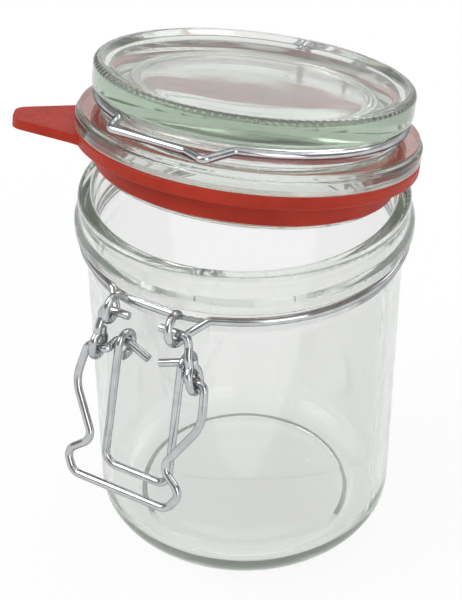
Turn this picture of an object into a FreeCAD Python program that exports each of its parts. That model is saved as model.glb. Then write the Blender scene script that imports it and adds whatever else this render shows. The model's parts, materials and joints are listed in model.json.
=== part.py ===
import FreeCAD, Part
import math
import os

# Clip-top preserving jar: a glass jar, a thick glass lid on a wire hinge, a rubber seal and a
# wire clasp with two links, a bell-shaped thumb lever and a rectangular bail.
#
# Frame, in millimetres: the origin is the middle of the foot, on the jar's axis. +Z is up, the
# clasp is on the -Y side and the hinge on the +Y side. The lid stands slightly open.
#
# In the wire work, a point is (side, out, height): side is along X, and out is the distance from
# the jar's axis, towards the clasp for the clasp and towards the hinge for the hinge.

os.makedirs("parts", exist_ok=True)
Vector = FreeCAD.Vector
X_AXIS = Vector(1, 0, 0)
Z_AXIS = Vector(0, 0, 1)
ORIGIN = Vector(0, 0, 0)

# ---- Jar glass ----
body_radius = 40.6
wall = 3.2
jar_height = 100.0
base_thickness = 3.4
punt_depth = 1.6
heel_radius = 9.0
foot_width = 12.6
inner_heel_radius = 6.0
neck_height = 17.8
shoulder_flare = 2.2
shoulder_band = 1.7
shoulder_proud = 0.6
groove_height = 3.5
groove_depth = 0.5
bead_height = 4.8
bead_proud = 2.6
lip_step = 1.2
lip_wall = 4.0

# ---- Wire ----
wire_radius = 1.0
wire_gap = 0.3
seam_gap = 0.2
tight_bend = 1.4
bend_slack = 0.05

# ---- Neck wire ----
neck_wire_play = 0.35
neck_wire_lift = 1.35
clasp_eye_beyond_bead = 3.1
clasp_eye_above_ring = 0.1
clasp_eye_radius = 3.4
clasp_eye_side = 8.6
clasp_eye_spread = 1.2
clasp_eye_pitch = 0.45
clasp_ring_side = 18.2
clasp_ring_lead = 5.0
eye_lead_in = 1.6
wire_bend = 2.0

# ---- Hinge at the back ----
hinge_beyond_bead = 2.7
hinge_below_lip = 0.1
hinge_leg_side = 8.6
hinge_leg_rake = 1.2
hinge_side_play = 1.8
hinge_pin_play = 0.35
hinge_pin_overhang = 3.0
hinge_eye_spread = 2.1
hinge_eye_pitch = 0.65
hinge_bar_inset = 0.8
hinge_ring_side = 17.0
hinge_ring_lead = 2.5
hinge_riser_lift = 2.3
lid_open_angle = 12.7

# ---- Lid glass, heights from the flange's lower face ----
flange_inset = 0.3
flange_height = 3.3
flange_step = 0.7
ledge_height = 4.9
rim_inset = 3.45
rim_overhang = 2.7
rim_bottom = 10.2
rim_top = 16.7
rim_width = 2.2
rim_slope = 2.4
dish_edge_depth = 1.1
dish_depth = 2.4
dish_radius = 25.0
lid_thickness = 6.4
plug_wall = 3.6
plug_taper = 1.2
plug_depth = 10.8
plug_play = 0.5

# ---- Lid wire, which stands away from its ring at the front to make the bail's hooking bar ----
lid_wire_play = 0.3
lid_wire_above_ledge = 3.2
lid_wire_leave_angle = 160.0
hook_leave_angle = 27.0
hook_drop = 1.7
hook_lead = 2.0
hook_bar_beyond_ring = 0.9
hook_bar_left_side = 16.0
hook_bar_right_side = 5.0
kink_side = 11.0
kink_beyond_ring = 3.3
kink_bend = 1.3

# ---- Seal ----
seal_thickness = 3.2
seal_play = 0.1
seat_gap = 0.1
collar_width = 1.3
collar_depth = 9.2
collar_taper = 0.2
tab_angle = -59.5
tab_length = 15.0
tab_tip_half = 4.6
tab_root_half = 11.5
tab_root_flare = 2.5
tab_root_inside = 3.0
tab_thickness = 2.4
tab_bend = 6.0

# ---- Clasp ----
link_length = 10.4
link_lean = 15.4
link_bend = 1.6
link_strand_gap = 0.12
link_stem = 2.6
link_fork = 5.2
trunnion_end = 4.4
hairpin_play = 0.6
hairpin_tail = 5.0
hairpin_neck = 3.6
hairpin_shoulder = 2.0
clasp_slip = 1.6
lever_length = 32.4
lever_lean = 25.0
lever_bar_half = 13.6
lever_horn_half = 16.5
lever_horn_reach = 0.85
lever_waist_half = 10.0
lever_waist_reach = 0.7
lever_bulge_beyond_top = 1.5
lever_bulge_reach = 0.3
lever_shoulder_bend = 1.8
crank_in = 4.0
crank_up = 2.2
pin_droop = 20.0
pin_root_inside = 1.6
pin_tip_side = 1.6
bail_lean = 15.0
bail_top_half = 8.8
bail_bottom_half = 9.2
bail_above_lever_bar = 1.4
bail_eye_radius = 3.0
bail_tail_gap = 0.2
bail_bend = 3.2

# ---- Heights, radii and sides that follow ----
shoulder_radius = body_radius + shoulder_proud
shoulder_height = jar_height - neck_height
groove_radius = body_radius - groove_depth
groove_bottom = shoulder_height + shoulder_flare + shoulder_band
groove_top = groove_bottom + groove_height
bead_radius = body_radius + bead_proud
bead_top = groove_top + bead_height
lip_radius = bead_radius - lip_step
neck_inner_radius = lip_radius - lip_wall
ring_height = groove_bottom + neck_wire_lift
neck_ring_radius = groove_radius + wire_radius + neck_wire_play
clasp_ring_angle = math.degrees(math.asin(clasp_ring_side / neck_ring_radius))
hinge_ring_angle = 180 - math.degrees(math.asin(hinge_ring_side / neck_ring_radius))
clasp_eye_out = bead_radius + clasp_eye_beyond_bead
clasp_eye_height = ring_height + clasp_eye_above_ring
clasp_eye_slack = clasp_eye_radius - 2 * wire_radius - wire_gap
hinge_out = bead_radius + hinge_beyond_bead
hinge_height = jar_height - hinge_below_lip
hinge_side = hinge_leg_side + 2 * wire_radius + hinge_side_play
hinge_eye_radius = 2 * wire_radius + hinge_pin_play
flange_base = jar_height + seal_thickness + seat_gap
flange_radius = bead_radius - flange_inset
ledge_radius = flange_radius - flange_step
rim_radius = flange_radius - rim_inset
waist_radius = rim_radius - rim_overhang
collar_radius = neck_inner_radius - plug_play
plug_radius = collar_radius - collar_width - seal_play
lid_ring_radius = waist_radius + wire_radius + lid_wire_play
lid_wire_height = flange_base + ledge_height + lid_wire_above_ledge
hook_bar_out = lid_ring_radius + hook_bar_beyond_ring
kink_out = lid_ring_radius + kink_beyond_ring
hook_height = lid_wire_height - hook_drop
trunnion_side = clasp_eye_side + 2 * clasp_eye_pitch + 2 * wire_radius + wire_gap
crank_side = bail_top_half + 2 * wire_radius + wire_gap
hairpin_side = crank_side + 2 * wire_radius + hairpin_play
hairpin_radius = 2 * wire_radius + wire_gap
strand_offset = wire_radius + link_strand_gap / 2
crank_bend = wire_radius + 0.15
lever_top_half = hairpin_side + wire_radius + lever_shoulder_bend
bail_length = lever_length - bail_above_lever_bar
bail_eye_slack = bail_eye_radius - 2 * wire_radius - wire_gap


def rounded_path(points, closed=False):
    """Edges through points (x, y, z, bend): each corner becomes an arc of its bend radius."""
    spots = [Vector(*point[:3]) for point in points]
    bends = [point[3] if len(point) > 3 else 0 for point in points]
    count = len(spots)
    starts = list(spots)
    ends = list(spots)
    arcs = [None] * count
    corners = range(count) if closed else range(1, count - 1)
    for i in corners:
        if bends[i] <= 0:
            continue
        before = (spots[i] - spots[i - 1]).normalize()
        after = (spots[(i + 1) % count] - spots[i]).normalize()
        turn = before.getAngle(after)
        reach = bends[i] * math.tan(turn / 2)
        inward = (after - before).normalize()
        centre = spots[i] + inward * (bends[i] / math.cos(turn / 2))
        starts[i] = spots[i] - before * reach
        ends[i] = spots[i] + after * reach
        arcs[i] = Part.Arc(starts[i], centre - inward * bends[i], ends[i]).toShape()
    edges = []
    for i in range(count):
        if arcs[i]:
            edges.append(arcs[i])
        if i == count - 1 and not closed:
            break
        following = (i + 1) % count
        if (starts[following] - ends[i]).Length > 1e-6:
            edges.append(Part.LineSegment(ends[i], starts[following]).toShape())
    return edges


def ring_point(radius, angle, height):
    """A point on a ring, at an angle in degrees from the clasp side towards +X."""
    turn = math.radians(angle)
    return Vector(radius * math.sin(turn), -radius * math.cos(turn), height)


def ring_arc(radius, start_angle, end_angle, height):
    middle = (start_angle + end_angle) / 2
    angles = (start_angle, middle, end_angle)
    return Part.Arc(*[ring_point(radius, angle, height) for angle in angles]).toShape()


def ring_step(radius, angle, height, step, direction):
    """The point that lies step further along the ring's tangent from an angle."""
    turn = math.radians(angle)
    tangent = Vector(math.cos(turn), math.sin(turn), 0) * direction
    return ring_point(radius, angle, height) + tangent * step


def swept_wire(edges):
    """A round wire along a smooth chain of edges."""
    path = Part.Wire(edges)
    first = edges[0]
    start = first.valueAt(first.FirstParameter)
    heading = first.tangentAt(first.FirstParameter)
    if (start - edges[1].valueAt(edges[1].FirstParameter)).Length < 1e-6:
        start = first.valueAt(first.LastParameter)
    section = Part.Wire(Part.Circle(start, heading, wire_radius).toShape())
    solid = path.makePipeShell([section], True, False)
    return solid if solid.ShapeType == "Solid" else solid.Solids[0]


def turned(outline):
    """A solid of revolution from (radius, height, bend) points."""
    points = [(corner[0], 0, corner[1], corner[2] if len(corner) > 2 else 0) for corner in outline]
    face = Part.Face(Part.Wire(rounded_path(points, closed=True)))
    return face.revolve(ORIGIN, Z_AXIS, 360)


def with_bend(place, bend=0):
    return (place.x, place.y, place.z, bend)


def mirrored(points):
    """The same wire points on the other side, in the opposite order."""
    return [(-point[0],) + tuple(point[1:]) for point in reversed(points)]


def on_clasp_side(side, out, height, bend=0):
    return (side, -out, height, bend)


def on_hinge_side(side, out, height, bend=0):
    return (side, out, height, bend)


def open_lid(shape):
    """Turns a piece of the shut lid about the hinge to where it rests, slightly open."""
    raised = shape.copy()
    raised.rotate(Vector(0, hinge_out, hinge_height), Vector(1, 0, 0), -lid_open_angle)
    return raised


# ---- Glass ----

def jar_glass():
    underside = [
        (0, punt_depth),
        (body_radius - foot_width, punt_depth, 0.8),
        (body_radius - foot_width + punt_depth, 0, 0.5),
    ]
    outside = [
        (body_radius, 0, heel_radius),
        (body_radius, shoulder_height, 3.0),
        (shoulder_radius, shoulder_height + shoulder_flare, 0.8),
        (shoulder_radius, groove_bottom, 0.4),
        (groove_radius, groove_bottom + 0.3, 0.5),
        (groove_radius, groove_top - 0.2, 0.6),
        (bead_radius - 0.8, groove_top + 0.3, 0.5),
        (bead_radius, groove_top + 1.2, 0.8),
        (bead_radius, bead_top - 1.4, 1.0),
        (lip_radius, bead_top, 0.5),
        (lip_radius, jar_height, 1.3),
    ]
    inside = [
        (neck_inner_radius, jar_height, 1.1),
        (neck_inner_radius, shoulder_height + 3.0, 2.0),
        (body_radius - wall, shoulder_height - 1.0, 3.0),
        (body_radius - wall, punt_depth + base_thickness, inner_heel_radius),
        (0, punt_depth + base_thickness),
    ]
    return turned(underside + outside + inside)


def lid_glass():
    dish_height = rim_top - dish_depth
    top = [
        (0, dish_height),
        (dish_radius, dish_height, 60.0),
        (rim_radius - rim_width - rim_slope, rim_top - dish_edge_depth, 3.0),
        (rim_radius - rim_width, rim_top, 1.2),
        (rim_radius, rim_top, 1.3),
    ]
    side = [
        (rim_radius, rim_bottom, 1.0),
        (waist_radius, rim_bottom - 0.6, 0.6),
        (waist_radius, ledge_height, 0.5),
        (ledge_radius, ledge_height, 0.5),
        (ledge_radius, flange_height + 0.3, 0.3),
        (flange_radius, flange_height, 0.4),
        (flange_radius, 0, 0.6),
    ]
    plug = [
        (plug_radius, 0, 0.4),
        (plug_radius, -plug_depth, 1.2),
        (plug_radius - plug_wall, -plug_depth, 1.0),
        (plug_radius - plug_wall - plug_taper, dish_height - lid_thickness, 4.0),
        (0, dish_height - lid_thickness),
    ]
    glass = turned(top + side + plug)
    glass.translate(Vector(0, 0, flange_base))
    return open_lid(glass)


# ---- Rubber ----

def seal_tab():
    """The flat pull tab, in the seal's plane and pointing along +X before it is turned."""
    root = plug_radius + tab_root_inside
    neck = flange_radius + flange_inset
    tip = flange_radius + tab_length
    outline = [
        (root, -tab_root_half - tab_root_flare, 0),
        (neck, -tab_root_half, tab_bend),
        (tip, -tab_tip_half, tab_tip_half - 0.2),
        (tip, tab_tip_half, tab_tip_half - 0.2),
        (neck, tab_root_half, tab_bend),
        (root, tab_root_half + tab_root_flare, 0),
    ]
    height = -(seal_thickness + tab_thickness) / 2
    points = [(x, y, height, bend) for x, y, bend in outline]
    face = Part.Face(Part.Wire(rounded_path(points, closed=True)))
    tab = face.extrude(Vector(0, 0, tab_thickness))
    tab.rotate(ORIGIN, Z_AXIS, tab_angle - 90)
    return tab


def seal_ring():
    inner_radius = plug_radius + seal_play
    outline = [
        (inner_radius, -seal_play, 0.5),
        (flange_radius, -seal_play, 0.6),
        (flange_radius, -seal_thickness, 0.6),
        (collar_radius + collar_taper, -seal_thickness, 0.4),
        (collar_radius, -collar_depth, 0.5),
        (inner_radius, -collar_depth, 0.2),
    ]
    seal = turned(outline).fuse(seal_tab()).removeSplitter()
    seal.translate(Vector(0, 0, flange_base))
    return open_lid(seal.Solids[0])


# ---- Wires ----

def clasp_eye_points():
    """From the neck ring, once round the clasp eye, to the middle of the bar between the eyes.

    The eye is bent round a hexagon of corners, whose last side leads in to the bar."""
    corner_step = 60
    half_step = math.radians(corner_step / 2)
    corner_reach = clasp_eye_radius / math.cos(half_step)
    lead_start = ring_step(neck_ring_radius, clasp_ring_angle, ring_height, clasp_ring_lead, -1)
    points = [
        with_bend(ring_point(neck_ring_radius, clasp_ring_angle, ring_height)),
        with_bend(lead_start, wire_bend),
    ]
    side = clasp_eye_side + clasp_eye_spread
    for angle in range(-130, 111, corner_step):
        turn = math.radians(angle)
        out = clasp_eye_out + corner_reach * math.cos(turn)
        height = clasp_eye_height + corner_reach * math.sin(turn)
        points.append(on_clasp_side(side, out, height, clasp_eye_radius))
        side -= clasp_eye_pitch
    heading = turn + half_step + math.pi / 2
    lead = clasp_eye_radius * math.tan(half_step) + eye_lead_in
    bar_out = out + lead * math.cos(heading)
    bar_height = height + lead * math.sin(heading)
    points.append(on_clasp_side(side, bar_out, bar_height, tight_bend))
    points.append(on_clasp_side(0, bar_out, bar_height))
    return points


def hinge_eye_points():
    """From the neck ring, up and round the hinge eye, to the seam in the bar between the eyes."""
    outer = hinge_out + hinge_eye_radius
    inner = hinge_out - hinge_eye_radius
    top = hinge_height + hinge_eye_radius
    bottom = hinge_height - hinge_eye_radius
    bar_out = outer - hinge_bar_inset
    riser_foot = ring_height + hinge_riser_lift
    ring_end = ring_step(neck_ring_radius, hinge_ring_angle, ring_height, hinge_ring_lead, 1)
    sides = [hinge_side + hinge_eye_spread - hinge_eye_pitch * turn for turn in range(5)]
    return [
        with_bend(ring_point(neck_ring_radius, hinge_ring_angle, ring_height)),
        with_bend(ring_end, wire_bend),
        on_hinge_side(sides[0], outer, riser_foot, wire_bend),
        on_hinge_side(sides[1], outer, top, hinge_eye_radius),
        on_hinge_side(sides[2], inner, top, hinge_eye_radius),
        on_hinge_side(sides[3], inner, bottom, hinge_eye_radius),
        on_hinge_side(sides[4], bar_out, bottom, tight_bend),
        on_hinge_side(seam_gap / 2, bar_out, bottom),
    ]


def neck_wire():
    front = clasp_eye_points()
    back = hinge_eye_points()
    right_ring = ring_arc(neck_ring_radius, hinge_ring_angle, clasp_ring_angle, ring_height)
    left_ring = ring_arc(neck_ring_radius, -clasp_ring_angle, -hinge_ring_angle, ring_height)
    clasp = front[:-1] + mirrored(front[:-1])
    edges = rounded_path(list(reversed(back)))
    edges += [right_ring]
    edges += rounded_path(clasp)
    edges += [left_ring]
    edges += rounded_path(mirrored(list(reversed(back))))
    return swept_wire(edges)


def lid_wire():
    half_notch = math.radians(180 - lid_wire_leave_angle)
    leave = ring_point(lid_ring_radius, lid_wire_leave_angle, lid_wire_height)
    step = (leave.x - hinge_leg_side) / math.cos(half_notch)
    corner = ring_step(lid_ring_radius, lid_wire_leave_angle, lid_wire_height, step, 1)
    leg = [
        on_hinge_side(hinge_side + hinge_pin_overhang, hinge_out, hinge_height),
        on_hinge_side(hinge_leg_side, hinge_out, hinge_height, tight_bend),
        on_hinge_side(hinge_leg_side, hinge_out - hinge_leg_rake, lid_wire_height, wire_bend),
        with_bend(corner, wire_bend),
        with_bend(leave),
    ]
    right = ring_point(lid_ring_radius, hook_leave_angle, lid_wire_height)
    right_step = ring_step(lid_ring_radius, hook_leave_angle, lid_wire_height, hook_lead, -1)
    left_step = ring_step(lid_ring_radius, -hook_leave_angle, lid_wire_height, hook_lead, 1)
    left = ring_point(lid_ring_radius, -hook_leave_angle, lid_wire_height)
    hook = [
        with_bend(right),
        with_bend(right_step, wire_bend),
        on_clasp_side(kink_side, kink_out, hook_height, kink_bend),
        on_clasp_side(hook_bar_right_side, hook_bar_out, hook_height, wire_bend),
        on_clasp_side(-hook_bar_left_side, hook_bar_out, hook_height, tight_bend),
        with_bend(left_step, wire_bend),
        with_bend(left),
    ]
    edges = rounded_path(leg)
    edges += [ring_arc(lid_ring_radius, lid_wire_leave_angle, hook_leave_angle, lid_wire_height)]
    edges += rounded_path(hook)
    edges += [ring_arc(lid_ring_radius, -hook_leave_angle, -lid_wire_leave_angle, lid_wire_height)]
    edges += rounded_path(mirrored(leg))
    return open_lid(swept_wire(edges))


def along(start, directions, amounts):
    """A point offset from start by an amount along each direction."""
    place = Vector(start)
    for direction, amount in zip(directions, amounts):
        place = place + direction * amount
    return place


def leaning(angle):
    """Down-and-out and inward directions of a piece that hangs out from the jar at an angle."""
    turn = math.radians(angle)
    down = Vector(0, -math.sin(turn), -math.cos(turn))
    inward = Vector(0, math.cos(turn), -math.sin(turn))
    return down, inward


def link_pivot():
    """The trunnions' axis: they hang at the bottom of the clasp eyes."""
    return Vector(0, -clasp_eye_out, clasp_eye_height - clasp_eye_slack)


def lever_pivot():
    """The axis on which the lever turns in the links' hairpins."""
    down, inward = leaning(link_lean)
    return link_pivot() + down * link_length


def bail_pivot():
    """The axis of the lever's two pins, which carry the bail."""
    down, inward = leaning(lever_lean)
    return lever_pivot() + inward * crank_in - down * crank_up


def link(hand):
    """One link, on the side given by hand: a trunnion, a strand and a hairpin round the lever."""
    top = link_pivot() + Vector(hand * trunnion_side, 0, 0)
    bottom = lever_pivot() + Vector(hand * hairpin_side + clasp_slip, 0, 0)
    down = (bottom - top).normalize()
    length = (bottom - top).Length
    outward = down.cross(X_AXIS).normalize()
    if outward.y > 0:
        outward = outward * -1
    neck = length - hairpin_neck
    shoulder = length - hairpin_shoulder
    foot = length + hairpin_radius
    start = link_pivot() + Vector(hand * trunnion_end, 0, 0)
    steps = [
        (link_stem, 0, link_bend),
        (link_fork, strand_offset, link_bend),
        (neck, strand_offset, link_bend),
        (shoulder, hairpin_radius, link_bend),
        (foot, hairpin_radius, hairpin_radius - bend_slack),
        (foot, -hairpin_radius, hairpin_radius - bend_slack),
        (shoulder, -hairpin_radius, link_bend),
        (neck, -strand_offset, link_bend),
        (length - hairpin_tail, -strand_offset, 0),
    ]
    points = [with_bend(start), with_bend(top, tight_bend)]
    points += [with_bend(along(top, (down, outward), step[:2]), step[2]) for step in steps]
    return swept_wire(rounded_path(points))


def thumb_lever():
    down, inward = leaning(lever_lean)
    slipped = lever_pivot() + Vector(clasp_slip, 0, 0)
    pin_root = bail_top_half - pin_root_inside
    pin_drop = (pin_root - pin_tip_side) * math.tan(math.radians(pin_droop))
    bulge_half = lever_top_half + lever_bulge_beyond_top
    half = [
        (pin_tip_side, -crank_up + pin_drop, crank_in, 0),
        (pin_root, -crank_up, crank_in, tight_bend),
        (crank_side, -crank_up, crank_in, crank_bend),
        (crank_side, 0, 0, crank_bend),
        (lever_top_half, 0, 0, lever_shoulder_bend),
        (bulge_half, lever_bulge_reach * lever_length, 0, 9.0),
        (lever_waist_half, lever_waist_reach * lever_length, 0, 3.0),
        (lever_horn_half, lever_horn_reach * lever_length, 0, 2.6),
        (lever_bar_half, lever_length, 0, 3.4),
    ]
    whole = half + mirrored(half)
    directions = (X_AXIS, down, inward)
    points = [with_bend(along(slipped, directions, corner[:3]), corner[3]) for corner in whole]
    return swept_wire(rounded_path(points))


def bail():
    down, inward = leaning(bail_lean)
    eye = bail_pivot() + Vector(clasp_slip, 0, -bail_eye_slack)
    round_eye = bail_eye_radius
    tail = bail_eye_radius - 2 * wire_radius - bail_tail_gap
    bend = bail_eye_radius - bend_slack
    half = [
        (bail_top_half, round_eye, -tail, 0),
        (bail_top_half, round_eye, round_eye, bend),
        (bail_top_half, -round_eye, round_eye, bend),
        (bail_top_half, -round_eye, -round_eye, bend),
        (bail_bottom_half, bail_length, -round_eye, bail_bend),
    ]
    whole = half + mirrored(half)
    directions = (X_AXIS, down, inward)
    points = [with_bend(along(eye, directions, corner[:3]), corner[3]) for corner in whole]
    return swept_wire(rounded_path(points))


pieces = {
    "jar_glass": jar_glass(),
    "neck_wire": neck_wire(),
    "lid_glass": lid_glass(),
    "lid_wire": lid_wire(),
    "seal_ring": seal_ring(),
    "link_right": link(1),
    "link_left": link(-1),
    "thumb_lever": thumb_lever(),
    "bail": bail(),
}

for name, solid in pieces.items():
    solid.exportStep("parts/" + name + ".step")
    box = solid.BoundBox
    print(name, solid.ShapeType, "valid", solid.isValid(), "volume %.1f mm3" % solid.Volume)
    print("    X %.1f %.1f  Y %.1f %.1f  Z %.1f %.1f" % (
        box.XMin, box.XMax, box.YMin, box.YMax, box.ZMin, box.ZMax))
print("link pivot", link_pivot(), "lever pivot", lever_pivot(), "bail pivot", bail_pivot())
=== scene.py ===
import json
import math

import bmesh
import bpy
from mathutils import Matrix, Vector


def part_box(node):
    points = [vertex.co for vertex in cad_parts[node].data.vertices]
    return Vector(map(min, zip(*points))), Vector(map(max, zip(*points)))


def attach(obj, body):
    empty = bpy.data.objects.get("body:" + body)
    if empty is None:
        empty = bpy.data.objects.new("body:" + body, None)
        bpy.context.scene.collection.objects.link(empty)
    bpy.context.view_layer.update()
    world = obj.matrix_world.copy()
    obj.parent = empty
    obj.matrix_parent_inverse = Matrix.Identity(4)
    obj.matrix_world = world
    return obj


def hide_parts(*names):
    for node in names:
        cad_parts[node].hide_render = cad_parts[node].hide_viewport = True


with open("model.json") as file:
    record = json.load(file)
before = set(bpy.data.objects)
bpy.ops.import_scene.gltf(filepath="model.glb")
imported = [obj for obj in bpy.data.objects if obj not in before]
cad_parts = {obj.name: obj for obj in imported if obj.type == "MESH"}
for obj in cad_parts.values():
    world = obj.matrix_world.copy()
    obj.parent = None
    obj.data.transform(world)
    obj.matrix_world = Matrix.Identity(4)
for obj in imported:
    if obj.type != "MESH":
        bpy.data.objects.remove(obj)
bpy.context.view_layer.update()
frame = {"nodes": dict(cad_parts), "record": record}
MM = 0.001

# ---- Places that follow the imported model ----
joints = {joint["name"]: joint for joint in frame["record"]["behaviour"]["joints"]}
hinge_place = Vector(joints["lid_hinge"]["pos_m"])
lid_open = math.radians(-joints["lid_hinge"]["range_deg"][0])
jar_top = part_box("jar_glass")[1][2]
bead_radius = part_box("jar_glass")[1][0]

# ---- Sizes in metres, as the solids have them ----
# The hair keeps the finer rings of the ribbed lid inside the solids' own box.
hair = 0.005 * MM
lip_inset = 1.2 * MM
neck_wall = 4.0 * MM
neck_inner_radius = bead_radius - lip_inset - neck_wall
flange_base = jar_top + 3.3 * MM - hair
flange_radius = bead_radius - 0.3 * MM - hair
flange_height = 3.3 * MM
ledge_radius = flange_radius - 0.7 * MM
ledge_height = 4.9 * MM
rim_radius = flange_radius - 3.45 * MM
rim_bottom = 10.2 * MM
rim_top = 16.7 * MM
rim_width = 2.2 * MM
rim_slope = 2.4 * MM
waist_radius = rim_radius - 2.7 * MM
dish_edge_height = rim_top - 1.1 * MM
dish_height = rim_top - 2.4 * MM
dish_radius = 25.0 * MM
lid_thickness = 6.4 * MM
plug_radius = neck_inner_radius - 1.9 * MM
plug_wall = 3.6 * MM
plug_taper = 1.2 * MM
plug_depth = 10.8 * MM

# ---- The pressed ribs on the lid's rim ----
rib_count = 124
rib_steps = 6
rib_depth = 0.34 * MM
rib_band = 1.1 * MM
rib_sharpness = 1.6


# ---- Node helpers ----

def new_material(name):
    material = bpy.data.materials.new(name)
    material.use_nodes = True
    nodes = material.node_tree.nodes
    nodes.clear()
    return material, nodes, material.node_tree.links


def noise(nodes, links, scale, detail=2.0):
    """A noise in the object's own metres."""
    place = nodes.new("ShaderNodeTexCoord")
    texture = nodes.new("ShaderNodeTexNoise")
    texture.inputs["Scale"].default_value = scale
    texture.inputs["Detail"].default_value = detail
    texture.inputs["Roughness"].default_value = 0.5
    links.new(place.outputs["Object"], texture.inputs["Vector"])
    return texture.outputs["Fac"]


def ramp(nodes, links, value, stops):
    """A colour ramp from (position, colour) stops."""
    node = nodes.new("ShaderNodeValToRGB")
    elements = node.color_ramp.elements
    while len(elements) > 1:
        elements.remove(elements[-1])
    elements[0].position = stops[0][0]
    elements[0].color = (*stops[0][1], 1)
    for position, colour in stops[1:]:
        element = elements.new(position)
        element.color = (*colour, 1)
    links.new(value, node.inputs["Fac"])
    return node.outputs["Color"]


def spread(nodes, links, value, low, high):
    """Maps a 0.3 to 0.7 noise onto low to high."""
    node = nodes.new("ShaderNodeMapRange")
    node.inputs["From Min"].default_value = 0.3
    node.inputs["From Max"].default_value = 0.7
    node.inputs["To Min"].default_value = low
    node.inputs["To Max"].default_value = high
    links.new(value, node.inputs["Value"])
    return node.outputs["Result"]


def bump(nodes, links, height, distance, strength=None, under=None):
    """A bump of full strength, or of a linked one, on the plain surface or on another bump."""
    node = nodes.new("ShaderNodeBump")
    node.inputs["Strength"].default_value = 1.0
    node.inputs["Distance"].default_value = distance
    links.new(height, node.inputs["Height"])
    if strength is not None:
        links.new(strength, node.inputs["Strength"])
    if under is not None:
        links.new(under, node.inputs["Normal"])
    return node.outputs["Normal"]


def compute(nodes, links, operation, *values):
    """A Math node, whose values are sockets or plain numbers."""
    node = nodes.new("ShaderNodeMath")
    node.operation = operation
    for value, entry in zip(values, node.inputs):
        if isinstance(value, (int, float)):
            entry.default_value = value
        else:
            links.new(value, entry)
    return node.outputs["Value"]


def surface_output(nodes, links, surface):
    output = nodes.new("ShaderNodeOutputMaterial")
    links.new(surface, output.inputs["Surface"])
    return output


# ---- Materials ----

def glass_material(name, wave_depth, clear, tinted):
    """Pressed soda-lime glass: clear face on, faintly green along a long path."""
    see_through_share = 0.09
    dish_dullness = 0.05
    swell_depth = 0.25 * MM
    patch_scale = 22.0
    smudge_scale = 60.0
    wave_scale = 70.0
    swell_scale = 55.0
    material, nodes, links = new_material(name)
    shader = nodes.new("ShaderNodeBsdfPrincipled")
    shader.inputs["Transmission Weight"].default_value = 1.0
    shader.inputs["IOR"].default_value = 1.5
    patches = noise(nodes, links, patch_scale)
    links.new(ramp(nodes, links, patches, [(0.35, clear), (0.65, tinted)]), shader.inputs["Base Color"])
    mark = nodes.new("ShaderNodeAttribute")
    mark.attribute_name = "dish"
    dish = mark.outputs["Fac"]
    smudges = spread(nodes, links, noise(nodes, links, smudge_scale, detail=4.0), 0.0, 0.03)
    dullness = compute(nodes, links, "MULTIPLY_ADD", dish, dish_dullness, smudges)
    links.new(dullness, shader.inputs["Roughness"])
    waves = bump(nodes, links, noise(nodes, links, wave_scale, detail=1.0), wave_depth)
    swells = noise(nodes, links, swell_scale, detail=0.0)
    links.new(bump(nodes, links, swells, swell_depth, dish, waves), shader.inputs["Normal"])
    let_through = nodes.new("ShaderNodeBsdfTransparent")
    let_through.inputs["Color"].default_value = (0.945, 0.943, 0.94, 1)
    path = nodes.new("ShaderNodeLightPath")
    lamp_rays = compute(
        nodes, links, "MAXIMUM", path.outputs["Is Shadow Ray"], path.outputs["Is Diffuse Ray"])
    share = compute(nodes, links, "MAXIMUM", lamp_rays, see_through_share)
    mix = nodes.new("ShaderNodeMixShader")
    links.new(share, mix.inputs["Fac"])
    links.new(shader.outputs["BSDF"], mix.inputs[1])
    links.new(let_through.outputs["BSDF"], mix.inputs[2])
    absorb = nodes.new("ShaderNodeVolumeAbsorption")
    absorb.inputs["Color"].default_value = (0.62, 0.74, 0.62, 1)
    absorb.inputs["Density"].default_value = 30.0
    output = surface_output(nodes, links, mix.outputs["Shader"])
    links.new(absorb.outputs["Volume"], output.inputs["Volume"])
    return material


def wire_material():
    """Bright zinc-plated drawn wire, a little duller in patches, with painted shade on its grazing edges.
    """
    material, nodes, links = new_material("zinc_wire")
    shader = nodes.new("ShaderNodeBsdfPrincipled")
    shader.inputs["Metallic"].default_value = 1.0
    # Dark specular tint: painted shade that darkens the wire's grazing edges, standing in for the dark
    # surroundings they reflect.
    shader.inputs["Specular Tint"].default_value = (0.3, 0.31, 0.33, 1)
    patch_scale = 260.0
    grain_scale = 900.0
    grain_depth = 0.02 * MM
    patches = noise(nodes, links, patch_scale, detail=3.0)
    bright = (0.58, 0.59, 0.60)
    dull = (0.48, 0.49, 0.50)
    links.new(ramp(nodes, links, patches, [(0.35, dull), (0.65, bright)]), shader.inputs["Base Color"])
    grain = noise(nodes, links, grain_scale, detail=4.0)
    links.new(spread(nodes, links, grain, 0.06, 0.16), shader.inputs["Roughness"])
    links.new(bump(nodes, links, grain, grain_depth), shader.inputs["Normal"])
    surface_output(nodes, links, shader.outputs["BSDF"])
    return material


def rubber_material():
    """Smooth matte red rubber with a faint bloom."""
    material, nodes, links = new_material("red_rubber")
    shader = nodes.new("ShaderNodeBsdfPrincipled")
    patch_scale = 90.0
    grain_scale = 1500.0
    grain_depth = 0.04 * MM
    patches = noise(nodes, links, patch_scale, detail=5.0)
    shader.inputs["Specular IOR Level"].default_value = 0.2
    deep = (0.33, 0.020, 0.008)
    bloom = (0.42, 0.033, 0.014)
    links.new(ramp(nodes, links, patches, [(0.3, deep), (0.7, bloom)]), shader.inputs["Base Color"])
    grain = noise(nodes, links, grain_scale, detail=3.0)
    links.new(spread(nodes, links, grain, 0.40, 0.56), shader.inputs["Roughness"])
    links.new(bump(nodes, links, grain, grain_depth), shader.inputs["Normal"])
    surface_output(nodes, links, shader.outputs["BSDF"])
    return material


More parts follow.
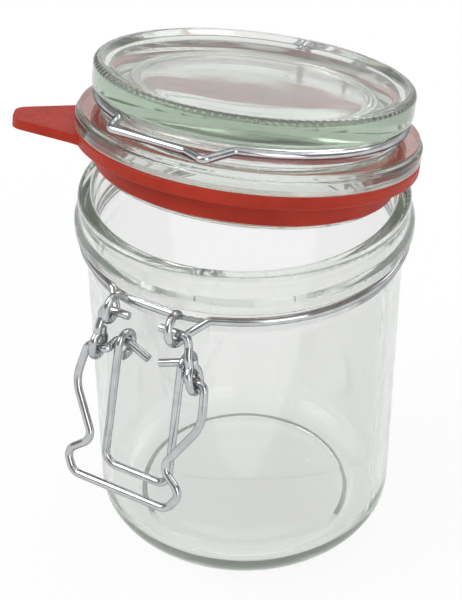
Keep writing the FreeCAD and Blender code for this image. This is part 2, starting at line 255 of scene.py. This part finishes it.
def seen_rays(nodes, links):
    """1 for rays by which the background is seen: straight, in gloss or through glass."""
    path = nodes.new("ShaderNodeLightPath").outputs
    total = compute(nodes, links, "MAXIMUM", path["Is Camera Ray"], path["Is Glossy Ray"])
    return compute(nodes, links, "MAXIMUM", total, path["Is Transmission Ray"])


def floor_material():
    """A pale matt floor that shows white and keeps the object's shadow."""
    white_share = 0.80
    patch_scale = 4.0
    material, nodes, links = new_material("pale_floor")
    shader = nodes.new("ShaderNodeBsdfDiffuse")
    patches = noise(nodes, links, patch_scale)
    stops = [(0.3, (0.86, 0.86, 0.86)), (0.7, (0.88, 0.88, 0.88))]
    links.new(ramp(nodes, links, patches, stops), shader.inputs["Color"])
    white = nodes.new("ShaderNodeEmission")
    white.inputs["Strength"].default_value = 1.0
    share = compute(nodes, links, "MULTIPLY", seen_rays(nodes, links), white_share)
    mix = nodes.new("ShaderNodeMixShader")
    links.new(share, mix.inputs["Fac"])
    links.new(shader.outputs["BSDF"], mix.inputs[1])
    links.new(white.outputs["Emission"], mix.inputs[2])
    surface_output(nodes, links, mix.outputs["Shader"])
    return material


# ---- Meshes ----

def rounded_outline(corners):
    """An outline from (radius, height, bend) corners, with each bend made an arc of short steps."""
    steps = 6
    margin = 0.15 * MM
    spots = [Vector(corner[:2]) for corner in corners]
    points = [spots[0]]
    for i in range(1, len(spots) - 1):
        bend = corners[i][2]
        before = (spots[i] - spots[i - 1]).normalized()
        after = (spots[i + 1] - spots[i]).normalized()
        turn = math.atan2(before.x * after.y - before.y * after.x, before.dot(after))
        reach = bend * math.tan(abs(turn) / 2)
        start = spots[i] - before * reach
        centre = spots[i] + (after - before).normalized() * (bend / math.cos(turn / 2))
        points.append(start - before * margin)
        for step in range(steps + 1):
            swing = Matrix.Rotation(turn * step / steps, 2)
            points.append(centre + swing @ (start - centre))
        points.append(spots[i] + after * (reach + margin))
    points.append(spots[-1])
    return [(max(point.x, 0.0), point.y) for point in points]


def turned_mesh(name, outline, segments, shaped, place):
    """A solid of revolution, each of whose points goes through shaped(angle, radius, height)."""
    mesh = bmesh.new()
    rings = []
    for radius, height in outline:
        count = 1 if radius == 0 else segments
        ring = []
        for i in range(count):
            angle = 2 * math.pi * i / segments
            out, up = shaped(angle, radius, height)
            ring.append(mesh.verts.new(place @ Vector((out * math.sin(angle), -out * math.cos(angle), up))))
        rings.append(ring)
    for lower, upper in zip(rings, rings[1:]):
        for i in range(segments):
            j = (i + 1) % segments
            corners = [ring[k % len(ring)] for ring, k in ((lower, i), (lower, j), (upper, j), (upper, i))]
            mesh.faces.new(list(dict.fromkeys(corners)))
    bmesh.ops.recalc_face_normals(mesh, faces=mesh.faces)
    data = bpy.data.meshes.new(name)
    mesh.to_mesh(data)
    mesh.free()
    return data


def finish_object(name, data, material):
    piece = bpy.data.objects.new(name, data)
    bpy.context.scene.collection.objects.link(piece)
    data.materials.append(material)
    for polygon in data.polygons:
        polygon.use_smooth = True
    return piece


def ribbed_rim(angle, radius, height):
    """Notches in the rim's upper outer edge, deepest at the corner itself."""
    from_top = (rim_top - height) / rib_band
    from_side = (rim_radius - radius) / rib_band
    if from_top > 1 or from_side > 1:
        return radius, height
    share = (1 - max(from_top, 0)) * (1 - max(from_side, 0))
    notch = max(0, math.cos(rib_count * angle)) ** 2
    depth = rib_depth * min(1, rib_sharpness * share) * notch
    return radius - depth, height - depth


def mark_dish(data, place):
    """Marks the points of the dish, whose pressed face is duller and wavier than the rest."""
    mark = data.attributes.new("dish", "FLOAT", "POINT")
    back = place.inverted()
    for vertex, entry in zip(data.vertices, mark.data):
        spot = back @ vertex.co
        inside = math.hypot(spot.x, spot.y) < rim_radius - rim_width and spot.z > dish_height - hair
        entry.value = 1.0 if inside else 0.0


def add_lid_glass(material):
    """The pressed glass lid in the place of its plain solid, with the ribs on its rim."""
    corners = [
        (0, dish_height, 0),
        (dish_radius, dish_height, 60.0 * MM),
        (rim_radius - rim_width - rim_slope, dish_edge_height, 3.0 * MM),
        (rim_radius - rim_width, rim_top, 1.2 * MM),
        (rim_radius, rim_top, 1.3 * MM),
        (rim_radius, rim_bottom, 1.0 * MM),
        (waist_radius, rim_bottom - 0.6 * MM, 0.6 * MM),
        (waist_radius, ledge_height, 0.5 * MM),
        (ledge_radius, ledge_height, 0.5 * MM),
        (ledge_radius, flange_height + 0.3 * MM, 0.3 * MM),
        (flange_radius, flange_height, 0.4 * MM),
        (flange_radius, 0, 0.6 * MM),
        (plug_radius, 0, 0.4 * MM),
        (plug_radius, -plug_depth, 1.2 * MM),
        (plug_radius - plug_wall, -plug_depth, 1.0 * MM),
        (plug_radius - plug_wall - plug_taper, dish_height - lid_thickness, 4.0 * MM),
        (0, dish_height - lid_thickness, 0),
    ]
    about_hinge = Matrix.Translation(hinge_place) @ Matrix.Rotation(-lid_open, 4, "X")
    place = about_hinge @ Matrix.Translation(Vector((0, 0, flange_base)) - hinge_place)
    outline = rounded_outline(corners)
    data = turned_mesh("lid_glass_ribbed", outline, rib_count * rib_steps, ribbed_rim, place)
    mark_dish(data, place)
    lid = finish_object("lid_glass_ribbed", data, material)
    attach(lid, "lid")
    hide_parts("lid_glass")


glass = glass_material("pressed_glass", 0.03 * MM, (0.944, 0.936, 0.942), (0.934, 0.927, 0.932))
lid_glass = glass_material("pressed_lid_glass", 0.08 * MM, (0.944, 0.938, 0.942), (0.934, 0.929, 0.932))
wire = wire_material()
rubber = rubber_material()

node_materials = {
    "jar_glass": glass,
    "lid_glass": lid_glass,
    "seal_ring": rubber,
    "neck_wire": wire,
    "lid_wire": wire,
    "link_right": wire,
    "link_left": wire,
    "thumb_lever": wire,
    "bail": wire,
}
for node_name, material in node_materials.items():
    piece = frame["nodes"][node_name]
    for slot in piece.material_slots:
        slot.material = material
add_lid_glass(lid_glass)


# ---- Floor, light and camera ----

def add_floor():
    """A wide flat floor a hair below the foot."""
    half_width = 3.0
    below_foot = 0.2 * MM
    grid = bmesh.new()
    bmesh.ops.create_grid(grid, x_segments=4, y_segments=4, size=half_width)
    data = bpy.data.meshes.new("floor")
    grid.to_mesh(data)
    grid.free()
    floor = finish_object("floor", data, floor_material())
    floor.location.z = -below_foot


def add_lamp(name, place, size, power):
    """A soft lamp turned to the middle of the jar."""
    aim = Vector((0, 0, 0.06))
    lamp = bpy.data.lights.new(name, "AREA")
    lamp.shape = "RECTANGLE"
    lamp.size, lamp.size_y = size
    lamp.energy = power
    holder = bpy.data.objects.new(name, lamp)
    bpy.context.scene.collection.objects.link(holder)
    holder.location = place
    holder.rotation_euler = (aim - Vector(place)).to_track_quat("-Z", "Y").to_euler()


def add_world():
    """White below and above, and a dimmer band between, darker in mirrors than through glass."""
    world = bpy.data.worlds.new("studio")
    bpy.context.scene.world = world
    world.use_nodes = True
    nodes = world.node_tree.nodes
    links = world.node_tree.links
    nodes.clear()
    place = nodes.new("ShaderNodeTexCoord")
    parts = nodes.new("ShaderNodeSeparateXYZ")
    links.new(place.outputs["Generated"], parts.inputs["Vector"])
    white = (1.0, 1.0, 1.0)
    white_below = 0.16
    dim_from = 0.28
    dim_to = 0.78
    white_above = 0.88
    mirrored = (0.27, 0.275, 0.28)
    through_glass = (0.56, 0.57, 0.52)
    backdrops = []
    for middle in (mirrored, through_glass):
        zones = [(white_below, white), (dim_from, middle), (dim_to, middle), (white_above, white)]
        backdrops.append(ramp(nodes, links, parts.outputs["Z"], zones))
    path = nodes.new("ShaderNodeLightPath")
    backdrop = nodes.new("ShaderNodeMix")
    backdrop.data_type = "RGBA"
    factor, first, second = (backdrop.inputs[i] for i in (0, 6, 7))
    links.new(path.outputs["Is Transmission Ray"], factor)
    links.new(backdrops[0], first)
    links.new(backdrops[1], second)
    seen = nodes.new("ShaderNodeBackground")
    seen.inputs["Strength"].default_value = 1.0
    links.new(backdrop.outputs[2], seen.inputs["Color"])
    lighting = nodes.new("ShaderNodeBackground")
    lighting.inputs["Color"].default_value = (0.95, 0.97, 1.0, 1)
    lighting.inputs["Strength"].default_value = 0.55
    mix = nodes.new("ShaderNodeMixShader")
    links.new(seen_rays(nodes, links), mix.inputs["Fac"])
    links.new(lighting.outputs["Background"], mix.inputs[1])
    links.new(seen.outputs["Background"], mix.inputs[2])
    output = nodes.new("ShaderNodeOutputWorld")
    links.new(mix.outputs["Shader"], output.inputs["Surface"])


def add_camera():
    """The camera at the front right, looking down on the lid."""
    azimuth = math.radians(30.5)
    elevation = math.radians(35.1)
    distance = 0.400
    aim = Vector((0, 0, 0.06465))
    camera = bpy.data.cameras.new("camera")
    camera.sensor_width = 36.0
    camera.lens = 90.6
    camera.shift_x = -0.02278
    camera.clip_start = 0.01
    camera.clip_end = 20.0
    holder = bpy.data.objects.new("camera", camera)
    bpy.context.scene.collection.objects.link(holder)
    level = distance * math.cos(elevation)
    height = distance * math.sin(elevation)
    place = aim + Vector((level * math.sin(azimuth), -level * math.cos(azimuth), height))
    look = (aim - place).to_track_quat("-Z", "Y").to_matrix().to_4x4()
    holder.matrix_world = Matrix.Translation(place) @ look
    bpy.context.scene.camera = holder


add_floor()
add_lamp("key", (-0.7, -0.5, 1.1), (0.8, 0.8), 9.0)
add_lamp("fill", (0.9, -0.6, 0.7), (0.6, 0.9), 4.0)
add_lamp("back", (0.2, 0.9, 0.9), (1.0, 0.5), 5.0)
add_world()
add_camera()
bpy.context.scene.view_settings.view_transform = "Standard"
